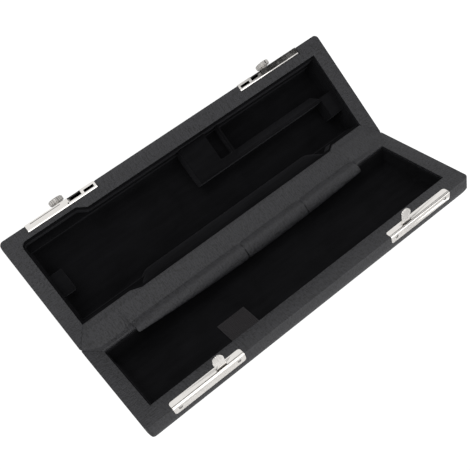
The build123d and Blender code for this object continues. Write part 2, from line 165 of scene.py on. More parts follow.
def level_x(edge):
    """Whether an edge runs at one place along the case."""
    return near(edge.verts[0].co.x, edge.verts[1].co.x, 1e-6)


def level_y(edge):
    """Whether an edge runs at one distance from the hinge."""
    return near(edge.verts[0].co.y, edge.verts[1].co.y, 1e-6)


def corners(name):
    """Lowest and highest corner of a piece of the frame."""
    return [Vector(corner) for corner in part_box(name)]


# Modelling


def choose(*objects):
    """Leave edit mode and select only these objects."""
    if bpy.context.object and bpy.context.object.mode != "OBJECT":
        bpy.ops.object.mode_set(mode="OBJECT")
    bpy.ops.object.select_all(action="DESELECT")
    for obj in objects:
        obj.select_set(True)
    if objects:
        bpy.context.view_layer.objects.active = objects[0]


def edit(obj):
    """Open obj in edit mode with all of it selected."""
    choose(obj)
    bpy.ops.object.mode_set(mode="EDIT")
    bpy.ops.mesh.select_mode(type="VERT")
    bpy.ops.mesh.select_all(action="SELECT")


def pick(obj, kind, test):
    """Select the vertices, edges or faces of obj for which test is true, in edit mode."""
    if obj.mode != "EDIT":
        edit(obj)
    bpy.ops.mesh.select_mode(type=kind)
    bpy.ops.mesh.select_all(action="DESELECT")
    mesh = bmesh.from_edit_mesh(obj.data)
    for item in {"VERT": mesh.verts, "EDGE": mesh.edges, "FACE": mesh.faces}[kind]:
        if test(item):
            item.select_set(True)
    mesh.select_flush_mode()
    bmesh.update_edit_mesh(obj.data)


def pick_points(obj, test):
    pick(obj, "VERT", lambda vert: test(vert.co))


def pick_edges(obj, test):
    """Select the edges whose two ends both pass test."""
    pick(obj, "EDGE", lambda edge: all(test(vert.co) for vert in edge.verts))


def pick_faces(obj, test):
    pick(obj, "FACE", lambda face: test(face.calc_center_median(), face.normal))


def shift(*offset):
    """Move what is selected, by millimetres."""
    bpy.ops.transform.translate(value=[part * MM for part in offset])


def extrude(*offset):
    """Draw the selected faces out, by millimetres."""
    move = {"value": [part * MM for part in offset]}
    bpy.ops.mesh.extrude_region_move(TRANSFORM_OT_translate=move)


def bevel(width, segments):
    """Round the selected edges, by a width in millimetres."""
    bpy.ops.mesh.bevel(offset=width * MM, segments=segments, profile=0.5, affect="EDGES",
                       offset_type="OFFSET", clamp_overlap=True)


def slice_at(obj, point, normal, **clear):
    """Cut all of obj along a plane."""
    edit(obj)
    bpy.ops.mesh.bisect(plane_co=point, plane_no=normal, **clear)


def slice_across(obj, x):
    """Cut all of obj square across the case, x millimetres from its middle."""
    slice_at(obj, (x * MM, 0, 0), (1, 0, 0))


def settle(name):
    """Name the object that was just added, and apply its place to its mesh."""
    obj = bpy.context.object
    obj.name = obj.data.name = name
    bpy.ops.object.transform_apply(location=True, rotation=True, scale=True)
    return obj


def add_block(name, low, high):
    """A box between two corners, ready to be shaped."""
    choose()
    lowest = Vector(min(pair) for pair in zip(low, high))
    highest = Vector(max(pair) for pair in zip(low, high))
    bpy.ops.mesh.primitive_cube_add(size=1, location=(lowest + highest) / 2,
                                    scale=highest - lowest)
    return settle(name)


def add_rod(name, point, radius, length):
    """A round rod along the case, with its middle at point."""
    choose()
    bpy.ops.mesh.primitive_cylinder_add(vertices=48, radius=radius * MM, depth=length * MM,
                                        location=point, rotation=(0, math.pi / 2, 0))
    return settle(name)


def modify(obj, kind, **settings):
    """Add one modifier and apply it."""
    choose(obj)
    bpy.ops.object.modifier_add(type=kind)
    modifier = obj.modifiers[-1]
    for name, value in settings.items():
        setattr(modifier, name, value)
    bpy.ops.object.modifier_apply(modifier=modifier.name)


def cut(obj, cutter, operation="DIFFERENCE"):
    """Cut obj by another solid, which is used up."""
    modify(obj, "BOOLEAN", operation=operation, object=cutter, solver="EXACT")
    bpy.data.objects.remove(cutter, do_unlink=True)
    return obj


def remesh(obj, voxel):
    """Give obj an even mesh, with faces of a size in millimetres."""
    modify(obj, "REMESH", mode="VOXEL", voxel_size=voxel * MM, adaptivity=0)


def smooth_out(obj, rounds):
    modify(obj, "SMOOTH", factor=0.5, iterations=rounds)


def soften(obj, voxel, rounds):
    """Turn crisp edges into those of a covered, padded block."""
    remesh(obj, voxel)
    smooth_out(obj, rounds)


def turn_up(obj):
    """Turn a piece of the lid, drawn lying flat, to the open lid's place."""
    choose(obj)
    obj.matrix_world = LID_TURN
    bpy.ops.object.transform_apply(location=True, rotation=True, scale=True)
    return obj


def lay_ribs(obj, has_ends=True):
    """Map in metres for the leatherette's ribs, on a half that is still lying flat. u runs along
    the nearest edge, so that the ribs lie across it and turn at the mitred corners, and v runs on
    over rounded edges."""
    choose(obj)
    layer = obj.data.uv_layers.new(name="ribs")
    for face in obj.data.polygons:
        inwards = HALF_LENGTH - abs(face.center.x) / MM
        distance = distance_of(face.center)
        at_end = (has_ends and inwards < HINGE_MITRE * distance
                  and inwards < FRONT_MITRE * (WIDTH - distance))
        fall = -1 if face.normal.y * face.normal.z > 0.05 else 1
        for index in face.loop_indices:
            point = obj.data.vertices[obj.data.loops[index].vertex_index].co
            across = point.y + fall * point.z
            layer.data[index].uv = (point.y, point.x) if at_end else (point.x, across)


def finish_piece(obj, body, slot, *replaced, smooth=35, kind=None):
    """Shade a finished piece, give it the material of its slot or of another kind, and let it ride
    on its body. It stands for the replaced pieces of the frame."""
    choose(obj)
    bpy.ops.object.shade_smooth_by_angle(angle=math.radians(smooth))
    obj.data.materials.clear()
    obj.data.materials.append(finish_for(kind or slot))
    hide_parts(*replaced)
    if body:
        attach(obj, body)


# Materials


class Value:
    """A number that varies over a surface. Arithmetic on it adds its Math nodes."""

    def __init__(self, finish, socket):
        self.finish = finish
        self.socket = socket

    def __add__(self, other):
        return self.finish.math("ADD", self, other)

    def __radd__(self, other):
        return self.finish.math("ADD", other, self)

    def __sub__(self, other):
        return self.finish.math("SUBTRACT", self, other)

    def __rsub__(self, other):
        return self.finish.math("SUBTRACT", other, self)

    def __mul__(self, other):
        return self.finish.math("MULTIPLY", self, other)

    def __rmul__(self, other):
        return self.finish.math("MULTIPLY", other, self)


class Finish:
    """The shader of a material or of the world, under construction."""

    def __init__(self, owner, shader="Principled BSDF"):
        owner.use_nodes = True
        self.nodes = owner.node_tree.nodes
        self.links = owner.node_tree.links
        self.shader = self.nodes[shader]

    def connect(self, socket, value):
        if isinstance(value, Value):
            self.links.new(value.socket, socket)
        else:
            socket.default_value = value

    def add(self, kind, settings=None, values=None, output=0):
        """Any node: its settings first, then the values or links of its sockets."""
        node = self.nodes.new(kind)
        for name, setting in (settings or {}).items():
            if name == "stops":
                for _ in range(len(setting) - 2):
                    node.color_ramp.elements.new(0.5)
                for element, (position, shade) in zip(node.color_ramp.elements, setting):
                    element.position = position
                    element.color = (shade, shade, shade, 1)
            else:
                setattr(node, name, setting)
        for name, value in (values or {}).items():
            self.connect(node.inputs[name], value)
        return Value(self, node.outputs[output])

    def set(self, **values):
        """Set the shader's sockets, each named as in Blender with _ for a space."""
        for name, value in values.items():
            self.connect(self.shader.inputs[name.replace("_", " ")], value)

    def math(self, operation, *values):
        return self.add("ShaderNodeMath", {"operation": operation}, dict(enumerate(values)))

    def place(self):
        return self.add("ShaderNodeTexCoord", output="Object")

    def stretched(self, scale, turn=(0, 0, 0), where=None):
        """The piece's own coordinates or its map, scaled and then turned."""
        return self.add("ShaderNodeMapping", None,
                        {"Vector": where or self.place(), "Rotation": turn, "Scale": scale})

    def noise(self, scale, detail=3, roughness=0.55, distortion=0.0, where=None):
        return self.add("ShaderNodeTexNoise", None,
                        {"Vector": where or self.place(), "Scale": scale, "Detail": detail,
                         "Roughness": roughness, "Distortion": distortion})

    def cells(self, scale):
        return self.add("ShaderNodeTexVoronoi", None, {"Vector": self.place(), "Scale": scale})

    def ramp(self, value, *stops):
        return self.add("ShaderNodeValToRGB", {"stops": stops}, {"Fac": value})

    def blend(self, mask, first, second):
        """Colour between first and second."""
        return self.add("ShaderNodeMix", {"data_type": "RGBA"}, {0: mask, 6: first, 7: second}, 2)

    def bump(self, height, depth, strength):
        """Relief of this height, with its depth in metres."""
        return self.add("ShaderNodeBump", None,
                        {"Height": height, "Distance": depth, "Strength": strength})


def tone(colour, factor):
    """A lighter or darker tone of a colour."""
    return tuple(part * factor for part in colour[:3]) + (1,)


def leatherette(finish, colour):
    """Grained coated cloth: fine slanted ribs broken up by small pebbles and creases, lighter where
    it is rubbed."""
    pebbles = finish.ramp(finish.cells(900), (0.0, 0.0), (0.6, 1.0))
    creases = finish.noise(560, detail=4, roughness=0.7)
    rib_map = finish.add("ShaderNodeUVMap", {"uv_map": "ribs"})
    ribs = finish.noise(1.0, detail=2,
                        where=finish.stretched((980, 260, 1), (0, 0, 0.12), rib_map))
    cloud = finish.ramp(finish.noise(24, detail=4, roughness=0.6), (0.32, 0.0), (0.68, 1.0))
    grain = pebbles * 0.25 + creases * 0.55 + ribs * 0.9
    shade = finish.ramp(grain, (0.7, 0.0), (1.0, 1.0))
    mottled = finish.blend(shade, tone(colour, 0.15), tone(colour, 2.4))
    finish.set(
        Base_Color=finish.blend(cloud * 0.3, mottled, tone(colour, 1.3)),
        Roughness=0.42 + 0.25 * creases,
        Specular_IOR_Level=0.45,
        Normal=finish.bump(grain, 0.0005, 1.0),
    )


def velvet(finish, colour):
    """Short pile with a cloudy nap and faint brush marks."""
    nap = finish.ramp(finish.noise(34, detail=4, roughness=0.6, distortion=0.6),
                      (0.3, 0.0), (0.72, 1.0))
    marks = finish.noise(1.0, detail=3, where=finish.stretched((30, 240, 160), (0, 0, 0.12)))
    brushed = finish.ramp(marks, (0.4, 0.0), (0.7, 1.0))
    pile = finish.noise(2600, detail=2)
    cloud = nap * 0.6 + brushed * 0.4
    mask = cloud * 0.75 + pile * 0.25
    finish.set(
        Base_Color=finish.blend(mask, tone(colour, 0.45), tone(colour, 1.7)),
        Roughness=0.92,
        Specular_IOR_Level=0.06,
        Sheen_Weight=0.2,
        Sheen_Roughness=0.4,
        Sheen_Tint=(0.3, 0.3, 0.33, 1),
        Normal=finish.bump(pile * 0.7 + nap * 0.3, 0.0002, 0.5),
    )


def nickel(finish, colour, roughness=0.05):
    """Nickel plate with fine polishing lines and small dull patches."""
    patches = finish.ramp(finish.noise(120, detail=4), (0.45, 0.0), (0.7, 1.0))
    lines = finish.noise(1.0, detail=2, where=finish.stretched((120, 3800, 3800)))
    finish.set(
        Base_Color=finish.blend(patches * 0.5, colour, tone(colour, 0.86)),
        Metallic=1.0,
        Roughness=roughness + 0.1 * patches,
        Normal=finish.bump(lines, 0.000004, 0.15),
    )


def hook_tape(finish, colour):
    """Woven tape that the hooks stand on."""
    weave = finish.add("ShaderNodeTexWave", {"wave_type": "BANDS", "bands_direction": "X"},
                       {"Vector": finish.place(), "Scale": 480, "Distortion": 1.5, "Detail": 2})
    flecks = finish.noise(900, detail=3)
    mask = finish.ramp(weave * 0.45 + flecks * 0.55, (0.38, 0.0), (0.62, 1.0))
    finish.set(
        Base_Color=finish.blend(mask, tone(colour, 0.55), tone(colour, 1.35)),
        Roughness=0.8,
        Normal=finish.bump(weave + flecks, 0.00015, 0.6),
    )


def plain_board(finish, colour):
    """Inner board that is hidden under the leatherette."""
    fibres = finish.noise(1.0, detail=4, where=finish.stretched((60, 900, 900)))
    grain = finish.blend(fibres, tone(colour, 0.8), tone(colour, 1.2))
    finish.set(Base_Color=grain, Roughness=0.85)


def finish_for(kind):
    """The case's materials, each made once."""
    name = "case_" + kind
    if name in bpy.data.materials:
        return bpy.data.materials[name]
    colours = bpy.context.scene.piccolo_case_finish
    maker, *settings = {
        "leatherette": (leatherette, colours.leatherette),
        "velvet": (velvet, colours.velvet),
        # painted light: the same velvet 1.15 times lighter for the raised blocks, ridge and rests,
        # which catch more light than the tray
        "velvet_block": (velvet, tone(colours.velvet, 1.15)),
        "nickel_steel": (nickel, colours.nickel),
        # painted shade: the knurled knob of each latch is nickel at 0.62 of its tone, for the shade
        # among its flutes
        "shaded_knobs": (nickel, tone(colours.nickel, 0.62), 0.2),
        # painted shade: half-toned nickel for the channel pressed along each catch plate's top
        "groove_shade": (nickel, tone(colours.nickel, 0.5), 0.4),
        "nail_heads": (nickel, tone(colours.nickel, 0.4), 0.3),
        # painted shade: nickel darkened almost to black for the faces inside the latches
        "latch_painted_shade": (nickel, tone(colours.nickel, 0.06), 0.5),
        # painted shade: nickel at 0.3 of its tone for the spring, which sits in the dark inside its
        # latch
        "hidden_steel": (nickel, tone(colours.nickel, 0.3), 0.4),
        "hook_tape": (hook_tape, colours.hook_tape),
        "board": (plain_board, colours.board),
    }[kind]
    material = bpy.data.materials.new(name)
    maker(Finish(material), *settings)
    return material


# Sizes and colours


class CaseSizes(bpy.types.PropertyGroup):
    """Sizes of the whole case, in metres."""

    length: bpy.props.FloatProperty(
        name="Length", description="Case along the hinge", default=2 * HALF_LENGTH * MM,
        unit="LENGTH")
    width: bpy.props.FloatProperty(
        name="Width", description="From the hinge to the front", default=WIDTH * MM,
        unit="LENGTH")
    base_depth: bpy.props.FloatProperty(
        name="Base depth", description="Height of the lower half", default=0.024, unit="LENGTH")
    lid_depth: bpy.props.FloatProperty(
        name="Lid depth", description="Height of the upper half", default=0.020, unit="LENGTH")
    leather: bpy.props.FloatProperty(
        name="Leatherette", description="Thickness of the covering", default=0.001, unit="LENGTH")
    underside: bpy.props.FloatProperty(
        name="Underside", description="Radius of the rounded underside", default=0.016,
        unit="LENGTH")
    strip: bpy.props.FloatProperty(
        name="Hinge strip", description="Thickness of the strip over the hinge", default=0.0004,
        unit="LENGTH")


class CaseFinish(bpy.types.PropertyGroup):
    """Colours of the case."""

    leatherette: bpy.props.FloatVectorProperty(
        name="Leatherette", description="Colour of the covering", size=4, subtype="COLOR",
        default=(0.0104, 0.0104, 0.012, 1))
    velvet: bpy.props.FloatVectorProperty(
        name="Velvet", description="Colour of the lining", size=4, subtype="COLOR",
        default=(0.0055, 0.0055, 0.0062, 1))
    nickel: bpy.props.FloatVectorProperty(
        name="Nickel", description="Colour of the latches and catches", size=4, subtype="COLOR",
        default=(0.79, 0.765, 0.735, 1))
    hook_tape: bpy.props.FloatVectorProperty(
        name="Hook tape", description="Colour of the tape patch", size=4, subtype="COLOR",
        default=(0.0125, 0.0105, 0.0122, 1))
    board: bpy.props.FloatVectorProperty(
        name="Board", description="Colour of the hidden board", size=4, subtype="COLOR",
        default=(0.25, 0.17, 0.09, 1))


# Forms of the two halves


def edge_at(outline, edge, x):
    """Distance of a cavity's back or front edge from the hinge axis at x, following its steps."""
    steps = outline[edge + "_steps"]
    if not steps:
        return outline[edge]
    if x <= steps[0][0]:
        return steps[0][1]
    for (x_low, low), (x_high, high) in zip(steps, steps[1:]):
        if x <= x_high:
            return low + (high - low) * (x - x_low) / (x_high - x_low)
    return steps[-1][1]


def cavity_block(name, half, inset, low, high):
    """The space inside a rim, drawn in by inset, as a solid."""
    outline = OUTLINES[half]
    end = CAVITY_END - inset
    back, front = outline["back"] + inset, outline["front"] - inset
    obj = add_block(name, place(half, -end, back, low), place(half, end, front, high))
    for x, _ in outline["back_steps"] + outline["front_steps"]:
        slice_across(obj, x)
    choose(obj)
    for vert in obj.data.vertices:
        if near(distance_of(vert.co), back):
            distance = edge_at(outline, "back", along(vert.co)) + inset
        else:
            distance = edge_at(outline, "front", along(vert.co)) - inset
        vert.co.y = place(half, 0, distance, 0).y
    if outline["front_steps"]:
        pick(obj, "EDGE", lambda edge: both(edge, along, end) and level_y(edge)
             and distance_of(edge.verts[0].co) > outline["front"])
        bevel(TRAY_CORNER - inset, 6)
    return obj


def outer_block(name, half, sizes, inset, top):
    """Outside form of one half, drawn in by inset, with a rounded underside and upright corners."""
    end = sizes.length / 2 / MM - inset
    back, front = inset, sizes.width / MM - inset
    low = inset - getattr(sizes, half + "_depth") / MM
    obj = add_block(name, place(half, -end, back, low), place(half, end, front, top))
    pick(obj, "EDGE",
         lambda edge: both(edge, height_of, low) and not both(edge, distance_of, back))
    bevel(sizes.underside / MM - inset, 14)
    pick_edges(obj, lambda co: near(height_of(co), low) and near(distance_of(co), back))
    bevel(FRONT_CORNER - inset, 5)
    plan = add_block("plan", place(half, -end, back, low - 1), place(half, end, front, top + 1))
    for distance, radius in ((front, FRONT_CORNER), (back, HINGE_CORNER)):
        pick(plan, "EDGE", lambda edge: both(edge, distance_of, distance) and level_x(edge))
        bevel(radius - inset / 2, 6)
    return cut(obj, plan, "INTERSECT")


def mitre(half, side, outer, inner):
    """An outer corner of a half, and the normal of the upright plane from it to its cavity."""
    corner = place(half, side * HALF_LENGTH, outer, 0)
    return corner, (place(half, side * CAVITY_END, inner, 0) - corner).cross(Vector((0, 0, 1)))


def strip_room(half):
    """Room for the mitred strip on a hinge-side rim."""
    edge = OUTLINES[half]["back"]
    obj = add_block("strip_room", place(half, -PAST_END, -1, -0.66),
                    place(half, PAST_END, edge + 2.5, ABOVE))
    for side in (-1, 1):
        corner, normal = mitre(half, side, 0, edge)
        if normal.x * side < 0:
            normal.negate()
        slice_at(obj, corner, normal, clear_outer=True, use_fill=True)
    return obj


def leather_cover(half, sizes):
    """Leatherette over the outside and the rim of one half, turned in at the cavity."""
    obj = outer_block(half + "_leatherette", half, sizes, 0, RIM)
    cut(obj, cavity_block("cavity", half, 0.35, -ABOVE, ABOVE))
    pick_edges(obj, lambda co: near(height_of(co), RIM))
    bevel(0.55, 3)
    cut(obj, outer_block("board_room", half, sizes, sizes.leather / MM, -1.9))
    cut(obj, strip_room(half))
    if half == "lid":
        cut(obj, add_block("pad_room", place("lid", -PAD_END, PAD_BACK, -0.96),
                           place("lid", PAD_END, 13, ABOVE)))
    cut(obj, add_block("leaf_room", place(half, -110.2, -1, -1.85),
                       place(half, 110.2, 8.5, ABOVE)))
    cut(obj, add_rod("barrel_room", place(half, 0, 0, 0), 2.05, 220.4))
    for side in (-1, 1):
        for outer, edge in ((0, "back"), (WIDTH, "front")):
            corner, normal = mitre(half, side, outer, OUTLINES[half][edge])
            pick_faces(obj, lambda centre, facing: centre.x * side > 0.1 and facing.z > 0.9
                       and abs(distance_of(centre) - outer) < 40)
            bpy.ops.mesh.bisect(plane_co=corner, plane_no=normal)
    lay_ribs(obj)
    return obj


class CASE_OT_leather_covers(bpy.types.Operator):
    """Leatherette over the base and the lid"""

    bl_idname = "piccolo_case.leather_covers"
    bl_label = "Leather covers"

    def execute(self, context):
        sizes = context.scene.piccolo_case_sizes
        base = leather_cover("base", sizes)
        gap, over = 0.05 * MM, 10 * MM
        box_back, plate_back = (place("base", 0, distance, 0).y for distance in (71.35, 70.4))
        for name in ("left_latch_case", "right_latch_case"):
            low, high = corners(name)
            outside = low.y - MM
            cut(base, add_block("latch_room", (low.x - gap, outside, low.z - gap),
                                (high.x + gap, box_back, high.z + over)))
            cut(base, add_block("plate_room", (low.x - 0.6 * MM, outside, high.z),
                                (high.x + 1.1 * MM, plate_back, high.z + over)))
        finish_piece(base, "base", "leatherette", "base_cover")
        lid = turn_up(leather_cover("lid", sizes))
        finish_piece(lid, "lid", "leatherette", "lid_cover")
        return {"FINISHED"}


class CASE_OT_velvet_tray(bpy.types.Operator):
    """Fitted velvet tray in the base, with its shelf and rounded floor"""

    bl_idname = "piccolo_case.velvet_tray"
    bl_label = "Velvet tray"

    def execute(self, context):
        tray = cavity_block("velvet_tray", "base", 0.1, -19.0, LINING_TOP)
        cut(tray, cavity_block("above_ledge", "base", 1.8, LEDGE, ABOVE))
        end, back, front = 107.8, 14.0, 62.5
        well = add_block("well", place("base", -end, back, TRAY_FLOOR),
                         place("base", end, front, ABOVE))
        pick_edges(well, lambda co: near(height_of(co), TRAY_FLOOR))
        bevel(3.2, 8)
        cut(tray, well)
        pick_edges(tray, lambda co: near(height_of(co), LEDGE) and abs(along(co)) < end + 0.1
                   and back - 0.1 < distance_of(co) < front + 0.1)
        bevel(0.8, 4)
        pick_edges(tray, lambda co: near(height_of(co), LINING_TOP))
        bevel(0.6, 4)
        finish_piece(tray, "base", "velvet", "tray_lining")
        return {"FINISHED"}


class CASE_OT_velvet_blocks(bpy.types.Operator):
    """Velvet blocks and ridge that hold the joints in the tray"""

    bl_idname = "piccolo_case.velvet_blocks"
    bl_label = "Velvet blocks"

    def execute(self, context):
        top, back = -6, 38.8
        block = add_block("head_joint_block_velvet", place("base", -31, back, BLOCK_FOOT),
                          place("base", 0, 63.8, top))
        pick_edges(block, lambda co: near(height_of(co), top) and near(distance_of(co), back))
        bevel(1.2, 3)
        cut(block, add_block("slot", place("base", -29.4, 44.4, -14),
                             place("base", -19.8, 64.5, 1)))
        soften(block, 0.55, 5)
        finish_piece(block, "base", "velvet_block", "head_joint_block")

        front = 45.8
        ridge = add_block("divider_ridge_velvet", place("base", -100, back, BLOCK_FOOT),
                          place("base", -30.6, front, top))
        pick_points(ridge, lambda co: near(height_of(co), top) and near(distance_of(co), front))
        shift(0, 5.4, 0)
        soften(ridge, 0.5, 4)
        finish_piece(ridge, "base", "velvet_block", "divider_ridge")

        for name, side, back in (("left_end_rest", -1, 26.6), ("right_end_rest", 1, 30.8)):
            rest = add_block(name + "_velvet", place("base", side * 99.8, back, BLOCK_FOOT),
                             place("base", side * 109.0, back + 14.5, -6.5))
            soften(rest, 0.5, 5)
            finish_piece(rest, "base", "velvet_block", name)
        return {"FINISHED"}


class CASE_OT_cushion(bpy.types.Operator):
    """Padded velvet band that slopes down the tray's hinge wall"""

    bl_idname = "piccolo_case.cushion"
    bl_label = "Cushion"

    def execute(self, context):
        left, right, back, front, taper = -79, 66, 9.6, 17.2, 9.0
        slope = ((-2.55, 10.8), (-5.0, 12.6), (-7.5, 14.1), (-9.5, 15.0), (-12.0, 16.0),
                 (-14.5, 16.8))
        cushion = add_block("hinge_side_cushion_velvet", place("base", left, back, -16.55),
                            place("base", right, front, slope[0][0]))
        for height, _ in slope[1:]:
            slice_at(cushion, place("base", 0, 0, height), (0, 0, 1))
        for height, distance in slope:
            pick_points(cushion, lambda co: near(height_of(co), height)
                        and near(distance_of(co), front))
            shift(0, front - distance, 0)
        for inwards in (1.5, 3.5, 6.0, taper):
            slice_across(cushion, left + inwards)
            slice_across(cushion, right - inwards)
        choose(cushion)
        for vert in cushion.data.vertices:
            share = min((along(vert.co) - left) / taper, (right - along(vert.co)) / taper, 1)
            fullness = 0.3 + 0.7 * share * (2 - share)
            vert.co.y = place("base", 0, back + (distance_of(vert.co) - back) * fullness, 0).y
        soften(cushion, 0.6, 6)
        finish_piece(cushion, "base", "velvet", "hinge_side_cushion")
        return {"FINISHED"}


class CASE_OT_lid_lining(bpy.types.Operator):
    """Plain velvet lining of the lid"""

    bl_idname = "piccolo_case.lid_lining"
    bl_label = "Lid lining"

    def execute(self, context):
        lining = cavity_block("lid_velvet", "lid", 0.1, -16.9, LINING_TOP)
        room = cavity_block("lid_room", "lid", 1.3, LID_FLOOR, ABOVE)
        pick_edges(room, lambda co: near(height_of(co), LID_FLOOR))
        bevel(6.0, 8)
        cut(lining, room)
        pick_edges(lining, lambda co: near(height_of(co), LINING_TOP))
        bevel(0.5, 3)
        turn_up(lining)
        finish_piece(lining, "lid", "velvet", "lid_lining")
        return {"FINISHED"}


def clamped(share):
    return min(max(share, 0), 1)


def strip_reach(x):
    """How far from the axis the strip leaves the base's rim, and where it meets the lid's: sooner
    at the pads, and sinking to the corner at its two ends."""
    share = clamped((abs(x) - STRAIGHT_END) / 10.5)
    sink = 1 - 0.92 * share * share * (3 - 2 * share)
    beyond_pads = clamped((abs(x) - PAD_END) / 4)
    return STRIP_LEAVES * sink, (PAD_BACK + (STRIP_LEAVES - PAD_BACK) * beyond_pads) * sink


def over_rim(edge, top):
    """Section of the strip over a rim, as (distance, height): up from the cavity, round its edge
    and towards the hinge."""
    return [(edge, LINING_TOP), (edge, top - 0.7), (edge - 0.15, top - 0.28), (edge - 0.55, top),
            (edge - 1.0, top), (7.5, top)]


def strip_section(x):
    """Section of the hinge strip at x, as (y, z) from the hinge axis: up from the base's cavity,
    over its rim, across the hinge to the lid's rim, and down into the lid's cavity."""
    turn = Matrix.Rotation(LID_TILT, 2)
    leave, meet = strip_reach(x)
    top = STRIP_TOP - 0.5 * (abs(x) < PAD_END + 0.1)
    over_base = over_rim(edge_at(OUTLINES["base"], "back", x), STRIP_TOP)
    over_lid = over_rim(OUTLINES["lid"]["back"], top)[::-1]
    start, end = Vector((-leave, STRIP_TOP)), turn @ Vector((meet, top))
    rise = 0.3 * leave / STRIP_LEAVES * Vector((start.y - end.y, end.x - start.x)).normalized()
    handles = (start, start.lerp(end, 0.3) + rise, start.lerp(end, 0.7) + rise, end)
    bridge = []
    steps = 16
    for index in range(steps + 1):
        share = index / steps
        rest = 1 - share
        weights = (rest ** 3, 3 * rest ** 2 * share, 3 * rest * share ** 2, share ** 3)
        parts = (point * weight for point, weight in zip(handles, weights))
        bridge.append(sum(parts, Vector((0, 0))))
    return ([Vector((-distance, height)) for distance, height in over_base] + bridge
            + [turn @ Vector((distance, height)) for distance, height in over_lid])


def strip_point(row, x):
    """Point of the strip, with the ends of its rows drawn in to the mitres at the rims' corners."""
    up_the_lid = Vector((math.cos(LID_TILT), math.sin(LID_TILT)))
    final = x
    for _ in range(12):
        point = strip_section(final)[row]
        over_base = -point.x / OUTLINES["base"]["back"]
        over_lid = point.dot(up_the_lid) / OUTLINES["lid"]["back"]
        limit = (HALF_LENGTH - SEAM
                 - (HALF_LENGTH - CAVITY_END) * min(max(over_base, over_lid), 1))
        if abs(x) > STRAIGHT_END:
            share = (abs(x) - STRAIGHT_END) / (HALF_LENGTH - STRAIGHT_END)
            final = math.copysign(STRAIGHT_END + share * (limit - STRAIGHT_END), x)
    return Vector((final * MM, HINGE_Y + point.x * MM, HINGE_Z + point.y * MM))


class CASE_OT_hinge_strip(bpy.types.Operator):
    """Leatherette strip that runs over the hinge from rim to rim, in one piece"""

    bl_idname = "piccolo_case.hinge_strip"
    bl_label = "Hinge strip"

    def execute(self, context):
        sizes = context.scene.piccolo_case_sizes
        columns = (0, 20, 40, 55, 69, 76.5, 82, 85.5, PAD_END, PAD_END + 0.6, 92, 100,
                   STRAIGHT_END, 110, 111.5, 113, 114.5, 116, 117.5, 118.7)
        points = [Vector((0, HINGE_Y + y * MM, HINGE_Z + z * MM)) for y, z in strip_section(0)]
        rows = len(points) - 1
        choose()
        bpy.ops.mesh.primitive_grid_add(x_subdivisions=2, y_subdivisions=rows, size=1,
                                        location=(0, 0, 0))
        strip = settle("hinge_strip_leatherette")
        edit(strip)
        bpy.ops.transform.resize(value=(0.24, 1, 1))
        for x in columns:
            for side in (-1, 1):
                slice_across(strip, side * x)
        choose(strip)
        for vert in strip.data.vertices:
            vert.co = strip_point(round((vert.co.y + 0.5) * rows), along(vert.co))

        edit(strip)
        bpy.ops.mesh.remove_doubles(threshold=1e-6)
        choose(strip)
        if sum(face.normal.z * face.area for face in strip.data.polygons) < 0:
            edit(strip)
            bpy.ops.mesh.flip_normals()
            choose(strip)
        modify(strip, "SOLIDIFY", thickness=sizes.strip, offset=-1, use_even_offset=True)
        lay_ribs(strip, has_ends=False)
        finish_piece(strip, None, "leatherette", "base_hinge_strip", "lid_hinge_strip")
        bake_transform(strip)
        return {"FINISHED"}


def lower_edge(x):
    """Height of the pads' lower edge, one long curve through the three pads."""
    share = (x + PAD_END) / (2 * PAD_END)
    left, middle, right = -4.4, -7.2, -1.8
    return (2 * (share - 0.5) * (share - 1) * left - 4 * share * (share - 1) * middle
            + 2 * share * (share - 0.5) * right)


def roll_in(point):
    """Point of a pad, drawn in to the quarter roll between the pad's top and its lower edge."""
    low = lower_edge(along(point))
    across = (distance_of(point) - ROLL_BACK) / (PAD_FRONT - ROLL_BACK)
    up = (height_of(point) - low) / (PAD_TOP - low)
    reach = math.hypot(across, up)
    if across <= 0 or up <= 0 or reach <= 1:
        return point
    return place("lid", along(point), ROLL_BACK + (PAD_FRONT - ROLL_BACK) * across / reach,
                 low + (PAD_TOP - low) * up / reach)


class CASE_OT_hinge_pads(bpy.types.Operator):
    """Three padded leatherette faces on the lid's hinge wall"""

    bl_idname = "piccolo_case.hinge_pads"
    bl_label = "Hinge pads"

    def execute(self, context):
        splits = (-PAD_END, -42.3, 6.2, PAD_END)
        names = ("left_hinge_pad", "middle_hinge_pad", "right_hinge_pad")
        wall, underside, steps = 12.3, -0.75, 16
        for name, left, right in zip(names, splits, splits[1:]):
            pad = add_block(name + "_leatherette", place("lid", left + 0.2, PAD_BACK, underside),
                            place("lid", right - 0.2, PAD_FRONT, PAD_TOP))
            pick(pad, "EDGE", lambda edge: both(edge, distance_of, PAD_BACK) and level_x(edge))
            bevel(2.4, 5)
            slice_at(pad, place("lid", 0, wall, 0), (0, 1, 0))
            for index in range(1, steps):
                slice_across(pad, left + (right - left) * index / steps)
            pick_faces(pad, lambda centre, facing: facing.z < -0.9 and distance_of(centre) > wall)
            extrude(0, 0, -1)
            choose(pad)
            for vert in pad.data.vertices:
                if near(height_of(vert.co), underside - 1):
                    vert.co.z = HINGE_Z + lower_edge(along(vert.co)) * MM
            remesh(pad, 0.35)
            for vert in pad.data.vertices:
                vert.co = roll_in(vert.co)
            smooth_out(pad, 8)
            lay_ribs(pad, has_ends=False)
            turn_up(pad)
            finish_piece(pad, "lid", "leatherette", name)
        return {"FINISHED"}


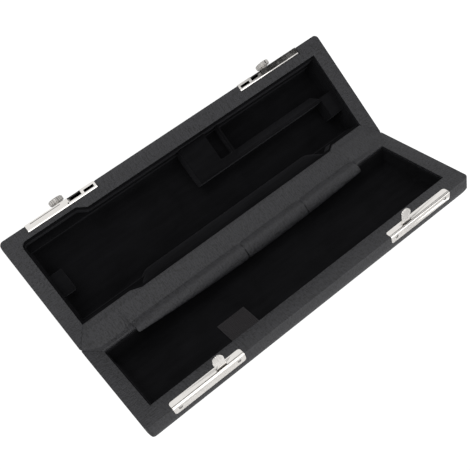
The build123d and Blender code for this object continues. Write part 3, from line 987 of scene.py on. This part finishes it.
class CASE_OT_hook_tape(bpy.types.Operator):
    """Square of hook tape on the lid's velvet floor"""

    bl_idname = "piccolo_case.hook_tape"
    bl_label = "Hook tape"

    def execute(self, context):
        top = LID_FLOOR + 0.5
        patch = add_block("hook_tape_square", place("lid", 30.2, 35.5, LID_FLOOR),
                          place("lid", 50.2, 55.5, top))
        pick_edges(patch, lambda co: near(height_of(co), top))
        bevel(0.2, 2)
        hook = add_block("hook", place("lid", 31.0, 36.2, -15.2),
                         place("lid", 31.25, 36.4, -14.85))
        pick_faces(hook, lambda centre, facing: facing.z > 0.9)
        extrude(0.22, 0, 0.12)
        extrude(0.22, 0, -0.06)
        bpy.ops.transform.resize(value=(0.6, 0.8, 0.6))
        for spacing in ((1.06 * MM, 0, 0), (0, 1.08 * MM, 0)):
            modify(hook, "ARRAY", count=18, use_relative_offset=False, use_constant_offset=True,
                   constant_offset_displace=spacing)
        choose(patch, hook)
        bpy.ops.object.join()
        turn_up(patch)
        finish_piece(patch, "lid", "hook_tape", "hook_tape_patch")
        return {"FINISHED"}


class CASE_OT_catch_nails(bpy.types.Operator):
    """Domed nails with a cross cut in their heads, which hold the catch plates"""

    bl_idname = "piccolo_case.catch_nails"
    bl_label = "Catch nails"

    def execute(self, context):
        height = -2.2
        heads = []
        for x in (-98.6, -59.0, 59.0, 98.6):
            middle = place("lid", x, 75.45, height)
            choose()
            bpy.ops.mesh.primitive_uv_sphere_add(segments=32, ring_count=20, radius=1.5 * MM,
                                                 location=middle)
            head = settle("catch_nails_domed")
            edit(head)
            bpy.ops.transform.resize(value=(1, 0.42, 1), center_override=middle)
            for wide, high in ((0.5, 4.0), (4.0, 0.5)):
                cut(head, add_block("cross", place("lid", x - wide / 2, 75.85, height - high / 2),
                                    place("lid", x + wide / 2, 77.0, height + high / 2)))
            heads.append(head)
        choose(*heads)
        bpy.ops.object.join()
        turn_up(heads[0])
        finish_piece(heads[0], "lid", "nickel_steel", "catch_nails", kind="nail_heads")
        return {"FINISHED"}


# Latches and catches, made from the frame's own pieces

FAR = 1  # metres, beyond every piece


def merged_copy(name, ending):
    """Copy of a piece of the frame, with the doubled points of its mesh merged."""
    choose()
    node = frame["nodes"][name]
    copy = node.copy()
    copy.data = node.data.copy()
    bpy.context.scene.collection.objects.link(copy)
    copy.name = copy.data.name = name + ending
    edit(copy)
    bpy.ops.mesh.remove_doubles(threshold=1e-6)
    bpy.ops.mesh.normals_make_consistent(inside=False)
    choose(copy)
    return copy


def paint_shade_inside(piece, low, high, kind="latch_painted_shade", turn=Matrix.Identity(4)):
    """Give the faces of a piece between two corners a darker finish, as painted shade where light
    doesn't reach. The corners are those of the piece turned by turn."""
    piece.data.materials.append(finish_for(kind))
    for face in piece.data.polygons:
        inside = all(a < b < c for a, b, c in zip(low, turn @ face.center, high))
        face.material_index = int(inside)


def latch_case(side):
    """Plated box of one latch, with painted shade inside its slots and along its seam."""
    name = side + "_latch_case"
    box = merged_copy(name, "_plated")
    finish_piece(box, "base", "nickel_steel", name, smooth=20)
    low, high = corners(name)
    rim = 0.1 * MM
    # painted shade: the box's faces within its outer edges take the near-black finish
    paint_shade_inside(box, (low.x + rim, low.y + rim, -FAR), (high.x - rim, FAR, high.z - rim))


def latch_back_plate(side):
    """Plate behind one latch, whose long top edge slopes down towards the tray."""
    name = side + "_latch_back_plate"
    plate = merged_copy(name, "_sloped")
    high = corners(name)[1]
    pick_points(plate, lambda co: near(co.y, high.y, 1e-5) and near(co.z, high.z, 1e-5))
    shift(0, 0, -0.26)
    finish_piece(plate, "base", "nickel_steel", name, smooth=10)
    # painted shade: all of the plate below its top edge takes the near-black finish
    paint_shade_inside(plate, (-FAR, -FAR, -FAR), (FAR, FAR, high.z - 0.3 * MM))


def latch_spring(side):
    """Spring behind one bolt, on a mesh of its own."""
    name = side + "_latch_spring"
    spring = merged_copy(name, "_coiled")
    finish_piece(spring, "base", "hidden_steel", name)
    low, high = corners(name)
    travel = JOINTS[side + "_latch_slide"]["range_m"][1]
    length = high.x - low.x
    (length - travel) / length
    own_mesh(spring)


def catch_plate(side):
    """Angle plate of one catch, with painted shade in the channel that is pressed along its top."""
    name = side + "_catch_plate"
    plate = merged_copy(name, "_plated")
    finish_piece(plate, "lid", "nickel_steel", name, smooth=20)
    paint_shade_inside(plate, place("lid", -PAST_END, 74.1, 0.1), place("lid", PAST_END, WIDTH, 0.43),
                "groove_shade", LID_TURN.inverted())


class CASE_OT_metalwork(bpy.types.Operator):
    """Finish of the hinge, latches, catches and nails"""

    bl_idname = "piccolo_case.metalwork"
    bl_label = "Metalwork"

    def execute(self, context):
        for side in ("left", "right"):
            latch_case(side)
            latch_back_plate(side)
            latch_spring(side)
            catch_plate(side)
        slots = {part["node"]: part["material_slot"] for part in frame["record"]["subparts"]}
        for name, obj in frame["nodes"].items():
            if obj.hide_render:
                continue
            # painted shade: each latch knob gets the darkened nickel
            material = finish_for("shaded_knobs" if name.endswith("knob") else slots[name])
            if obj.material_slots:
                for entry in obj.material_slots:
                    entry.material = material
            else:
                obj.data.materials.append(material)
        return {"FINISHED"}


class CASE_OT_stage(bpy.types.Operator):
    """Pale floor, soft lights and the camera"""

    bl_idname = "piccolo_case.stage"
    bl_label = "Stage"

    def execute(self, context):
        self.lay_floor()
        self.light_world(context.scene)
        self.hang_lamps()
        self.set_camera(context.scene)
        context.scene.view_settings.view_transform = "Standard"
        return {"FINISHED"}

    def lay_floor(self):
        """Pale floor that looks nearly white and keeps the case's shadow."""
        choose()
        bpy.ops.mesh.primitive_plane_add(size=6, location=(0, 0, 0))
        floor = bpy.context.object
        floor.name = "pale_floor"
        material = bpy.data.materials.new("stage_floor")
        paint = Finish(material)
        paint.set(Base_Color=(0.9, 0.9, 0.9, 1), Roughness=0.9, Specular_IOR_Level=0.1)
        seen = paint.add("ShaderNodeLightPath", output="Is Camera Ray")
        lit = Value(paint, paint.shader.outputs[0])
        glow = paint.add("ShaderNodeEmission", None, {"Color": (1, 1, 1, 1), "Strength": 1.2})
        mixed = paint.add("ShaderNodeMixShader", None, {0: seen * 0.8, 1: lit, 2: glow})
        paint.connect(paint.nodes["Material Output"].inputs[0], mixed)
        floor.data.materials.append(material)

    def light_world(self, scene):
        """Even pale world, white where it is seen or mirrored, with one dark card for metal."""
        scene.world = bpy.data.worlds.new("studio")
        studio = Finish(scene.world, "Background")
        seen, mirrored, through = (
            studio.add("ShaderNodeLightPath", output=name)
            for name in ("Is Camera Ray", "Is Glossy Ray", "Is Transmission Ray")
        )
        white = studio.math("MAXIMUM", studio.math("MAXIMUM", seen, mirrored), through)
        strength = studio.add("ShaderNodeMapRange", None,
                              {"Value": white, "To Min": 0.45, "To Max": 1.0})
        towards_card = studio.add(
            "ShaderNodeVectorMath", {"operation": "DOT_PRODUCT"},
            {0: studio.add("ShaderNodeTexCoord", output="Generated"),
             1: Vector((-0.66, -0.14, 0.74)).normalized()}, "Value")
        card = studio.add("ShaderNodeMapRange", None,
                          {"Value": towards_card, "From Min": 0.962, "From Max": 0.957,
                           "To Min": 0.03, "To Max": 1.0})
        studio.set(Color=(1, 1, 1, 1), Strength=strength * (1 - mirrored * (1 - card)))

    def hang_lamps(self):
        """Two wide soft lamps, from behind and from the front."""
        middle = Vector((0, 0.03, 0.02))
        for name, spot, power in (("back_light", (-0.25, 1.2, 0.9), 8.0),
                                  ("front_light", (0.3, -0.9, 1.25), 7.0)):
            choose()
            aim = middle - Vector(spot)
            bpy.ops.object.light_add(type="AREA", location=spot,
                                     rotation=aim.to_track_quat("-Z", "Y").to_euler())
            lamp = bpy.context.object
            lamp.name = name
            lamp.data.shape = "DISK"
            lamp.data.size = 1.4
            lamp.data.energy = power

    def set_camera(self, scene):
        """Camera fitted to the corners of the rims in the photograph."""
        choose()
        turn = [math.radians(angle) for angle in (1.97157, -16.66267, 142.66441)]
        bpy.ops.object.camera_add(location=(0.12838, 0.03213, 0.43839), rotation=turn)
        camera = bpy.context.object
        camera.name = "photo_camera"
        camera.data.sensor_width = 36
        camera.data.lens = 52.9814
        camera.data.shift_x = -0.07437
        camera.data.shift_y = 0.19856
        camera.data.clip_start = 0.01
        scene.camera = camera


class CASE_PT_panel(bpy.types.Panel):
    """Lists the case's pieces in the order they are made"""

    bl_label = "Piccolo Case"
    bl_idname = "CASE_PT_panel"
    bl_space_type = "VIEW_3D"
    bl_region_type = "UI"
    bl_category = "Piccolo Case"

    def draw(self, context):
        for step in STEPS:
            self.layout.operator(step.bl_idname)


STEPS = (
    CASE_OT_leather_covers,
    CASE_OT_velvet_tray,
    CASE_OT_velvet_blocks,
    CASE_OT_cushion,
    CASE_OT_lid_lining,
    CASE_OT_hinge_strip,
    CASE_OT_hinge_pads,
    CASE_OT_hook_tape,
    CASE_OT_catch_nails,
    CASE_OT_metalwork,
    CASE_OT_stage,
)
CLASSES = (CaseSizes, CaseFinish, *STEPS, CASE_PT_panel)


def register():
    for item in CLASSES:
        bpy.utils.register_class(item)
    bpy.types.Scene.piccolo_case_sizes = bpy.props.PointerProperty(type=CaseSizes)
    bpy.types.Scene.piccolo_case_finish = bpy.props.PointerProperty(type=CaseFinish)


def unregister():
    del bpy.types.Scene.piccolo_case_finish
    del bpy.types.Scene.piccolo_case_sizes
    for item in reversed(CLASSES):
        bpy.utils.unregister_class(item)


def main():
    """Make the whole case."""
    register()
    for step in STEPS:
        group, name = step.bl_idname.split(".")
        getattr(getattr(bpy.ops, group), name)()


if __name__ == "__main__":
    main()
